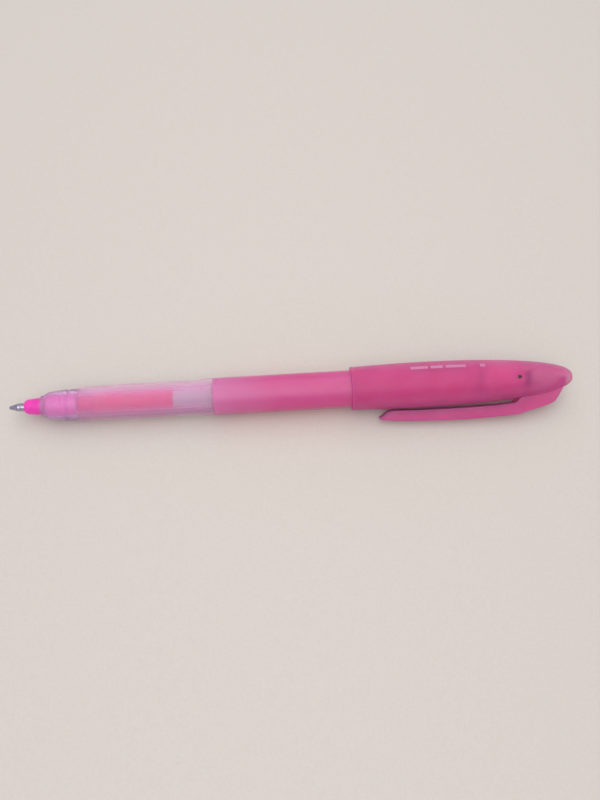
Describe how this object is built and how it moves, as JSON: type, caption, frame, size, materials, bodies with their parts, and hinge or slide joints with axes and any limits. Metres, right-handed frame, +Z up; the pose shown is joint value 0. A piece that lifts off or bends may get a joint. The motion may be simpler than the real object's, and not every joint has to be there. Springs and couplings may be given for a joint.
{
  "type": "capped gel pen",
  "caption": "Capped gel stick pen with a clear nose, soft grip, translucent barrel and a clip cap posted on its tail.",
  "frame": {"origin": "on the pen's axis at the middle of the bare barrel", "axes": "+X along the pen from the writing point to the closed end of the cap, +Z up with the pen lying on its cap and clip, -Y towards the side that the clip points to, 30 degrees below the horizontal"},
  "size_m": [0.16, 0.0163, 0.0133],
  "materials": {
    "writing_ball": "polished",
    "metal_point": "turned and polished",
    "tip_holder": "smooth moulded, opaque",
    "check_ball": "polished",
    "ink_tube": "clear",
    "ink_column": "liquid gel ink, opaque",
    "ink_follower": "clear grease",
    "nose_section": "clear, smooth moulded",
    "grip_sleeve": "frosted, soft",
    "barrel": "translucent, smooth moulded",
    "tail_plug": "translucent, smooth moulded",
    "cap_shell": "translucent, finely frosted",
    "cap_clip": "translucent, finely frosted",
    "inner_cap": "translucent",
    "tip_seal": "matt"
  },
  "bodies": {
    "pen": {"tip_holder": "tip_holder", "metal_point": "metal_point", "ink_tube": "ink_tube", "ink_column": "ink_column", "nose_section": "nose_section", "grip_sleeve": "grip_sleeve", "barrel": "barrel", "tail_plug": "tail_plug"},
    "ball": {"writing_ball": "writing_ball"},
    "valve": {"check_ball": "check_ball"},
    "follower": {"ink_follower": "ink_follower"},
    "cap_core": {"tip_seal": "tip_seal"},
    "cap": {"cap_shell": "cap_shell", "inner_cap": "inner_cap"},
    "clip": {"cap_clip": "cap_clip"}
  },
  "joints": [
    {"name": "cap_slide", "type": "slide", "parent": "pen", "child": "cap_core", "axis": [1, 0, 0], "range_m": [0, 0.04]},
    {"name": "cap_turn", "type": "hinge", "parent": "cap_core", "child": "cap", "pos_m": [0, 0, 0], "axis": [1, 0, 0], "continuous": true},
    {"name": "clip_flex", "type": "hinge", "parent": "cap", "child": "clip", "pos_m": [0.0664, -0.00728, -0.00419], "axis": [0, -0.4985, 0.8669], "range_deg": [0, 3], "stiffness_Nm_per_rad": 3},
    {"name": "follower_slide", "type": "slide", "parent": "pen", "child": "follower", "axis": [-1, 0, 0], "range_m": [0, 0.021], "deforming": ["ink_column"]},
    {"name": "valve_slide", "type": "slide", "parent": "pen", "child": "valve", "axis": [1, 0, 0], "range_m": [0, 0.0014]},
    {"name": "ball_roll", "type": "hinge", "parent": "pen", "child": "ball", "pos_m": [-0.07725, 0, 0], "axis": [0, 1, 0], "continuous": true}
  ]
}
